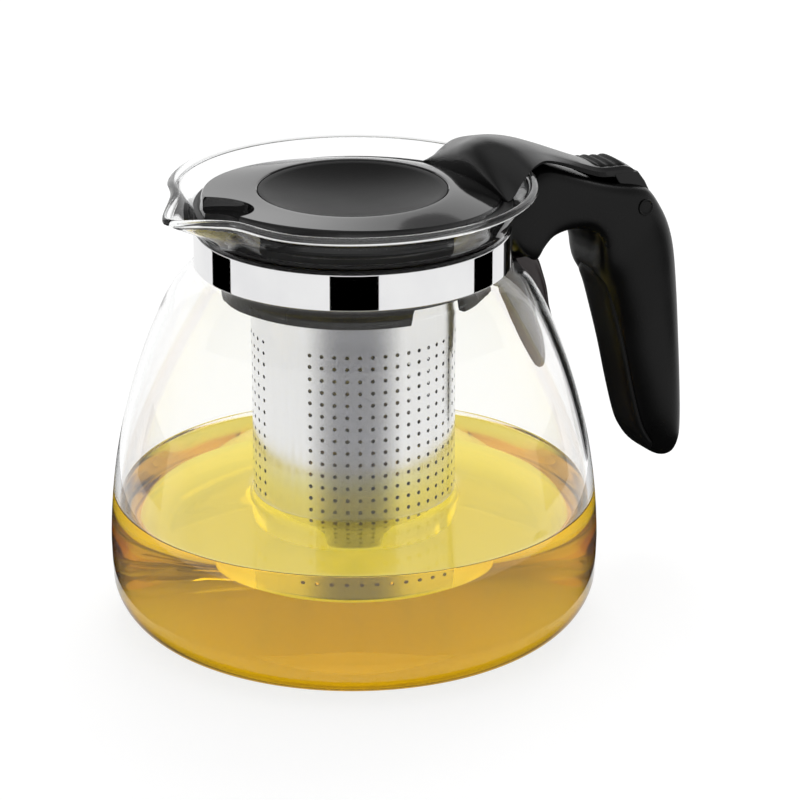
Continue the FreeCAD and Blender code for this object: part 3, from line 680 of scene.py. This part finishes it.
def perforated_wall():
    """A tube of square cells, each with a round hole, but plain along the seam."""
    outer, inner = STRAINER_OUTER, STRAINER_OUTER - 0.5
    low, high = 21.9, STRAINER_TOP - 0.1
    vertices, faces = [], []

    def corner(u, v, radius):
        """Adds a point at column u and height v, and gives its number."""
        angle = u / HOLE_COLUMNS * TURN
        vertices.append((radius * math.cos(angle), radius * math.sin(angle), v))
        return len(vertices) - 1

    def plain(u0, u1, v0, v1):
        """A stretch of wall without a hole, in two halves."""
        halfway = (u0 + u1) / 2
        for a, b in ((u0, halfway), (halfway, u1)):
            for radius in (outer, inner):
                quad = [corner(a, v0, radius), corner(b, v0, radius), corner(b, v1, radius),
                        corner(a, v1, radius)]
                faces.append(quad)

    def holed(column, centre):
        """A square cell of wall with a round hole."""
        half = HOLE_PITCH / 2
        width = outer * TURN / HOLE_COLUMNS
        rims = {}
        for radius in (outer, inner):
            square, hole = [], []
            for k in range(16):
                angle = TURN * k / 16
                c, s = math.cos(angle), math.sin(angle)
                reach = max(abs(c), abs(s))
                square.append(corner(column + 0.5 + 0.5 * c / reach,
                                     centre + half * s / reach, radius))
                hole.append(corner(column + 0.5 + HOLE_SIZE * c / width,
                                   centre + HOLE_SIZE * s, radius))
            for k in range(16):
                n = (k + 1) % 16
                faces.append([square[k], square[n], hole[n], hole[k]])
            rims[radius] = hole
        for k in range(16):
            n = (k + 1) % 16
            faces.append([rims[outer][k], rims[outer][n], rims[inner][n], rims[inner][k]])

    top_edge = HOLE_TOP + HOLE_PITCH / 2
    low_edge = HOLE_TOP - HOLE_PITCH * (HOLE_ROWS - 0.5)
    for column in range(HOLE_COLUMNS):
        azimuth = (column + 0.5) / HOLE_COLUMNS * 360
        plain(column, column + 1, low, low_edge)
        plain(column, column + 1, top_edge, high)
        for row in range(HOLE_ROWS):
            centre = HOLE_TOP - HOLE_PITCH * row
            if SEAM_START < azimuth < SEAM_END:
                plain(column, column + 1, centre - HOLE_PITCH / 2, centre + HOLE_PITCH / 2)
            else:
                holed(column, centre)
    for column in range(HOLE_COLUMNS):
        for part in (0.0, 0.5):
            for level in (low, high):
                faces.append([corner(column + part, level, outer),
                              corner(column + part + 0.5, level, outer),
                              corner(column + part + 0.5, level, inner),
                              corner(column + part, level, inner)])
    return mesh_of("strainer_tube", vertices, faces)


def make_strainer():
    """The tube, the ring that hangs it in the collar, and the cup that closes it."""
    outer, top, low = STRAINER_OUTER, STRAINER_TOP, STRAINER_LOW
    finish_mesh("strainer_tube", perforated_wall(), STRAINER, "strainer",
                ["strainer_wall"], 40)
    outline = rounded([(29.6, 106.0), (30.9, 106.0), (30.9, top, 0), (36.0, top),
                       (36.0, top + 1.5), (29.6, top + 1.5)], 0.25, 3)
    finish_mesh("strainer_top_ring", lathe_mesh("strainer_top_ring", outline), STRAINER,
                "strainer", ["strainer_ring"], 40)
    cup = rounded([(0.0, low), (outer, low, 1.4), (outer, low + 3, 0), (outer + 0.02, low + 3, 0),
                   (30.95, low + 3, 0), (30.95, low + 0.55, 1.0), (0.0, low + 0.55)], 0.1, 6)
    finish_mesh("strainer_cup", lathe_mesh("strainer_cup", cup), STRAINER, "strainer",
                ["strainer_base"], 40)


# ---------------------------------------------------------------- lid

def crease_at(angle):
    """The lid's crown edge: an oval that falls a little towards the hinge."""
    x, y = math.cos(angle), math.sin(angle)
    radius = 1 / math.sqrt((x / 47.0) ** 2 + (y / 40.4) ** 2)
    return radius, 137.7 - 0.066 * radius * x


def make_lid():
    """The crown as rings of points, each ring its own mix of circle and oval."""
    dish, top, glossy_above = 29.3, 139.75, 135.25
    rings = []
    count = 240

    def ring(radius_of, height_of):
        rings.append([(radius_of(a) * math.cos(a), radius_of(a) * math.sin(a), height_of(a))
                      for a in (TURN * k / count for k in range(count))])

    def level(radius, height):
        ring(lambda a: radius, lambda a: height)

    level(0.05, 134.2)
    level(24.0, 134.2)
    level(dish - 0.35, 137.6)
    level(dish - 0.1, top - 0.35)
    level(dish + 0.25, top - 0.05)
    for share in (0.04, 0.12, 0.25, 0.4, 0.55, 0.7, 0.83, 0.93, 0.985):
        def radius_of(a, share=share):
            return dish + 0.3 + (crease_at(a)[0] - dish - 0.3) * share

        def height_of(a, share=share):
            return top + (crease_at(a)[1] + 0.25 - top) * share ** 1.35
        ring(radius_of, height_of)
    for out, down in ((0.35, 0.15), (0.7, 0.55), (1.0, 1.1)):
        ring(lambda a, out=out: crease_at(a)[0] + out * 0.7 - 0.2,
             lambda a, down=down: crease_at(a)[1] + 0.15 - down)
    for share in (0.35, 0.7):
        ring(lambda a, share=share: crease_at(a)[0] + 0.5
             + (47.0 - crease_at(a)[0] - 0.5) * share,
             lambda a, share=share: crease_at(a)[1] - 1.0
             + (135.3 - crease_at(a)[1] + 1.0) * share)
    for radius, height in ((47.4, 135.15), (48.6, 134.9), (48.8, 134.5), (48.0, 133.0),
                           (47.6, 132.2), (47.2, 131.4), (46.6, 131.2), (45.4, 131.2),
                           (45.0, 131.0), (34.4, 131.0), (34.4, 133.2), (0.05, 133.2)):
        level(radius, height)
    mesh = loft_mesh("lid_crown", rings)
    notch = lathe_mesh("notch", rounded([(0.0, 136.6), (1.0, 136.6, 0.12), (1.0, 150.0),
                                         (0.0, 150.0)], 0), 96)
    notch.transform(Matrix.Translation(Vector((-50.0, 0, 0)) * MM)
                    @ Matrix.Diagonal(Vector((14.5, 12.0, 1, 1))))
    spill = lathe_mesh("spill", [(0.0, 128.0), (1.0, 128.0), (1.0, 150.0), (0.0, 150.0)], 96)
    spill.transform(Matrix.Translation(Vector((-50.0, 0, 0)) * MM)
                    @ Matrix.Diagonal(Vector((9.5, 9.0, 1, 1))))
    crown = finish_mesh("lid_crown", carve(mesh, [notch, spill]), LID, "lid",
                        ["lid_plate"], 32)
    crown.data.materials.append(SEAL)
    for face in crown.data.polygons:
        face.material_index = 1 if face.center.z < glossy_above * MM else 0
    bowl = [(r, 135.5 + 4.0 * (r / 29.0) ** 2.2)
            for r in (0.0, 5, 10, 14, 18, 21.5, 24.5, 27, 28.7)]
    outline = bowl + [(28.9, 139.35), (28.9, 138.2)] + [(r, z - 1.0) for r, z in bowl[::-1]]
    finish_mesh("lid_bowl", lathe_mesh("lid_bowl", outline), DISH, "lid",
                ["lid_dish"], 60)


# ---------------------------------------------------------------- lever

LEVER_RIBS = [
    # x, crown half width, crown top, crease z, foot half width, foot z, underside z
    (40.1, 6.0, 138.2, 137.6, 24.9, 135.2, 135.0), (40.3, 6.4, 141.8, 140.8, 25.0, 135.4, 135.0),
    (41.3, 7.4, 144.2, 142.7, 24.9, 135.7, 135.2), (43.4, 8.6, 146.1, 144.3, 24.2, 136.9, 136.5),
    (46.2, 9.6, 147.2, 145.2, 23.2, 139.6, 139.6), (49.6, 10.4, 147.7, 145.8, 21.8, 141.9, 141.7),
    (54.0, 10.6, 147.2, 145.6, 18.6, 142.8, 142.0), (60.0, 10.2, 145.7, 144.3, 14.8, 142.6, 141.9),
    (67.0, 9.4, 143.0, 141.8, 11.9, 140.4, 139.5), (74.0, 8.6, 140.0, 138.9, 10.1, 137.6, 136.5),
    (81.0, 7.9, 137.0, 136.0, 8.8, 134.7, 133.4), (86.0, 7.3, 135.2, 134.3, 8.0, 133.0, 131.6),
    (91.0, 7.0, 134.5, 133.7, 7.6, 132.4, 130.8), (95.0, 6.9, 134.2, 133.4, 7.5, 131.9, 129.8),
    (97.8, 6.8, 133.0, 132.3, 7.4, 131.0, 129.0), (99.4, 6.6, 131.6, 131.0, 7.2, 130.2, 128.8),
    (100.1, 6.2, 130.6, 130.3, 6.7, 129.8, 129.0),
]
CROWN_STEPS, FLANK_STEPS = 12, 8


def lever_ring(rib):
    """Across the lever: a crown, a crease on each side, hollow flanks and a level underside."""
    x, crown, top, crease, foot, low, under = rib
    near = []
    for k in range(FLANK_STEPS + 1):
        share = k / FLANK_STEPS
        near.append((foot + (crown - foot) * share, low + (crease - low) * share ** 0.85))
    for k in range(1, CROWN_STEPS // 2 + 1):
        share = 1 - 2 * k / CROWN_STEPS
        near.append((crown * share, top - (top - crease) * share ** 2))
    side = [(foot * 0.97, min(low, under) - 0.2)] + near
    half = [(0.0, under)] + [(foot * share, under) for share in (0.35, 0.7)] + side
    ring = half + [(-y, z) for y, z in half[-2:0:-1]]
    return [(x, y, z) for y, z in ring]


def make_lever():
    """The arch over the rim, its arm down to the pin, and the ridged pad for the thumb."""
    rings = [lever_ring(rib) for rib in spline(LEVER_RIBS, 5)]
    mesh = loft_mesh("lever_arch", rings)
    finish_mesh("lever_arch", mesh, LEVER, "lid", ["lid_lever"], 28)
    eye = 4.8
    arm = [(PIN_X + eye * math.cos(math.radians(a)), PIN_Z + eye * math.sin(math.radians(a)))
           for a in range(150, 331, 15)]
    arm += [(PIN_X + 6.4, PIN_Z - 0.6), (PIN_X + 5.6, PIN_Z + 1.8), (PIN_X + 2.9, PIN_Z + 7.0),
            (PIN_X + 0.2, PIN_Z + 10.6), (PIN_X - 9.5, PIN_Z + 11.6)]
    finish_mesh("lever_arm", slab_mesh("lever_arm", arm, 7.55, 0.6), LEVER, "lid",
                ["lid_lever"], 40)
    pad_start, ridge_pitch, steps = 84.0, 3.4, 24
    pad = []
    for index in range(steps + 1):
        x = pad_start + index * 0.55
        top = blend_of(LEVER_RIBS, x)[1]
        ridge = 0.42 * math.cos(TURN * (x - pad_start) / ridge_pitch)
        ends = smooth(min(index, steps - index), 0, 2)
        pad.append(super_ring((0, 1, 0), (0, 0, 1), (x, 0, top - 0.9), 6.3 * (0.8 + 0.2 * ends),
                              0.7 + (0.55 + ridge * 0.9) * ends, 2.6, 40))
    finish_mesh("thumb_ridges", loft_mesh("thumb_ridges", pad), PAD, "lid",
                ["thumb_pad"], 50)


def dress_cad_nodes():
    """Materials for the CAD nodes that stay in view."""
    kept = {"clamp_screw": FASTENER, "clamp_nut": FASTENER, "cover_screws": FASTENER,
            "lid_screws": FASTENER, "hinge_pin": FASTENER, "lid_seal": SEAL}
    for name, material in kept.items():
        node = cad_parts[name]
        for place in node.material_slots:
            place.material = material


# ---------------------------------------------------------------- stage

def make_floor():
    """A pale floor that glows a little, so that only a faint shadow shows on it.

    It lies a hair under the jug's foot, because two surfaces at one height flicker.
    """
    side = 6.0
    level = -0.1 * MM
    mesh = bpy.data.meshes.new("floor")
    mesh.from_pydata([(-side, -side, level), (side, -side, level), (side, side, level),
                      (-side, side, level)], [], [(0, 1, 2, 3)])
    floor = bpy.data.objects.new("floor", mesh)
    bpy.context.scene.collection.objects.link(floor)
    material, _, _, shader = new_material("floor_white")
    shader.inputs["Base Color"].default_value = (0.3, 0.3, 0.3, 1)
    shader.inputs["Roughness"].default_value = 0.9
    shader.inputs["Specular IOR Level"].default_value = 0.0
    shader.inputs["Emission Color"].default_value = (1, 1, 1, 1)
    shader.inputs["Emission Strength"].default_value = 0.8
    mesh.materials.append(material)
    floor.visible_glossy = False


def make_world():
    """A studio that is bright round the horizon and darker overhead and underfoot."""
    world = bpy.data.worlds.new("studio")
    bpy.context.scene.world = world
    world.use_nodes = True
    nodes, links = world.node_tree.nodes, world.node_tree.links
    place = nodes.new("ShaderNodeTexCoord")
    split = nodes.new("ShaderNodeSeparateXYZ")
    ramp = nodes.new("ShaderNodeValToRGB")
    links.new(place.outputs["Generated"], split.inputs["Vector"])
    height = nodes.new("ShaderNodeMapRange")
    height.inputs["From Min"].default_value = -1.0
    links.new(split.outputs["Z"], height.inputs["Value"])
    links.new(height.outputs["Result"], ramp.inputs["Fac"])
    for stop, share in ((0.0, 0.04), (0.18, 0.1), (0.3, 0.92), (0.56, 0.95), (0.85, 0.3)):
        element = ramp.color_ramp.elements.new(stop)
        element.color = (share, share, share, 1)
    ramp.color_ramp.elements.remove(ramp.color_ramp.elements[0])
    links.new(ramp.outputs["Color"], nodes["Background"].inputs["Color"])


def add_card(name, vertices, faces, glow):
    """A card that shows in reflections only; a glow of 0 makes it black."""
    mesh = bpy.data.meshes.new(name)
    mesh.from_pydata(vertices, [], faces)
    card = bpy.data.objects.new(name, mesh)
    bpy.context.scene.collection.objects.link(card)
    material, _, _, shader = new_material(name)
    shader.inputs["Base Color"].default_value = (0, 0, 0, 1)
    shader.inputs["Specular IOR Level"].default_value = 0.0
    shader.inputs["Emission Color"].default_value = (1, 1, 1, 1)
    shader.inputs["Emission Strength"].default_value = glow
    mesh.materials.append(material)
    card.visible_camera = False
    card.visible_shadow = False
    card.visible_diffuse = False
    card.visible_transmission = False


def studio_card(name, azimuth, width, distance, low, high, glow):
    """A curved card that stands round the object."""
    steps = 12
    vertices = []
    for k in range(steps + 1):
        angle = math.radians(azimuth + width * (k / steps - 0.5))
        for height in (low, high):
            vertices.append((distance * math.cos(angle), distance * math.sin(angle), height))
    faces = [(2 * k, 2 * k + 2, 2 * k + 3, 2 * k + 1) for k in range(steps)]
    add_card(name, vertices, faces, glow)


def flag_ring(name, outline, azimuth, width, steps=96):
    """A black strip that runs round the object, from an outline of (radius, height)."""
    rows = len(outline)
    vertices = []
    for k in range(steps + 1):
        angle = math.radians(azimuth + width * (k / steps - 0.5))
        vertices += [(r * math.cos(angle), r * math.sin(angle), z) for r, z in outline]
    faces = []
    for k in range(steps):
        here, following = k * rows, (k + 1) * rows
        faces += [(here + row, following + row, following + row + 1, here + row + 1)
                  for row in range(rows - 1)]
    add_card(name, vertices, faces, 0.0)


def make_cards():
    """Black flags low in front give the band its dark bars; a bright screen stands behind.

    One flag lies on the floor round the pot and one over the front of its shoulder, so that
    the tea and the glass under the rim mirror black.
    """
    distance, low, high = 0.30, 0.001, 0.06
    for name, azimuth, width in (("flag_front", FRONT, 32.0), ("flag_left", 137.5, 22.0),
                                 ("flag_right", -19.0, 22.0), ("flag_edge", 27.0, 6.0)):
        studio_card(name, azimuth, width, distance, low, high, 0.0)
    studio_card("screen_back", 59.25, 90.0, 1.2, 0.15, 0.9, 1.3)
    flag_ring("flag_floor", [(0.09, 0.0005), (0.2, 0.0005)], 0.0, 360.0)
    flag_ring("flag_shoulder", [(0.0491, 0.1163), (0.0525, 0.1130), (0.0565, 0.1085),
                                (0.0605, 0.1020)], FRONT, 100.0)


def make_camera():
    """The camera, looking down on the pot from its left."""
    down, turned = 20.62, -30.75
    data = bpy.data.cameras.new("camera")
    data.sensor_width = 36.0
    data.lens = 170.2
    data.clip_end = 20.0
    camera = bpy.data.objects.new("camera", data)
    camera.location = (-0.550, -0.9526, 0.4844)
    camera.rotation_euler = (math.radians(90 - down), 0, math.radians(turned))
    bpy.context.scene.collection.objects.link(camera)
    bpy.context.scene.camera = camera


def make_light():
    """One broad soft lamp above and behind; it isn't mirrored in the gloss."""
    data = bpy.data.lights.new("softbox", "AREA")
    data.energy = 6.0
    data.size = 0.8
    lamp = bpy.data.objects.new("softbox", data)
    lamp.location = (0.5, 0.6, 1.1)
    aim = Vector((0, 0, 0.1)) - lamp.location
    lamp.rotation_euler = aim.to_track_quat("-Z", "Y").to_euler()
    lamp.visible_glossy = False
    bpy.context.scene.collection.objects.link(lamp)


make_jug()
make_tea()
make_tea_inside()
make_band()
make_handle()
make_inner_cover()
make_shoulder_rest()
make_caps()
make_collar()
make_strainer()
make_lid()
make_lever()
dress_cad_nodes()
make_floor()
make_world()
make_cards()
make_light()
make_camera()

scene = bpy.context.scene
scene.view_settings.view_transform = "Standard"
scene.cycles.max_bounces = 24
scene.cycles.transmission_bounces = 20
scene.cycles.glossy_bounces = 8
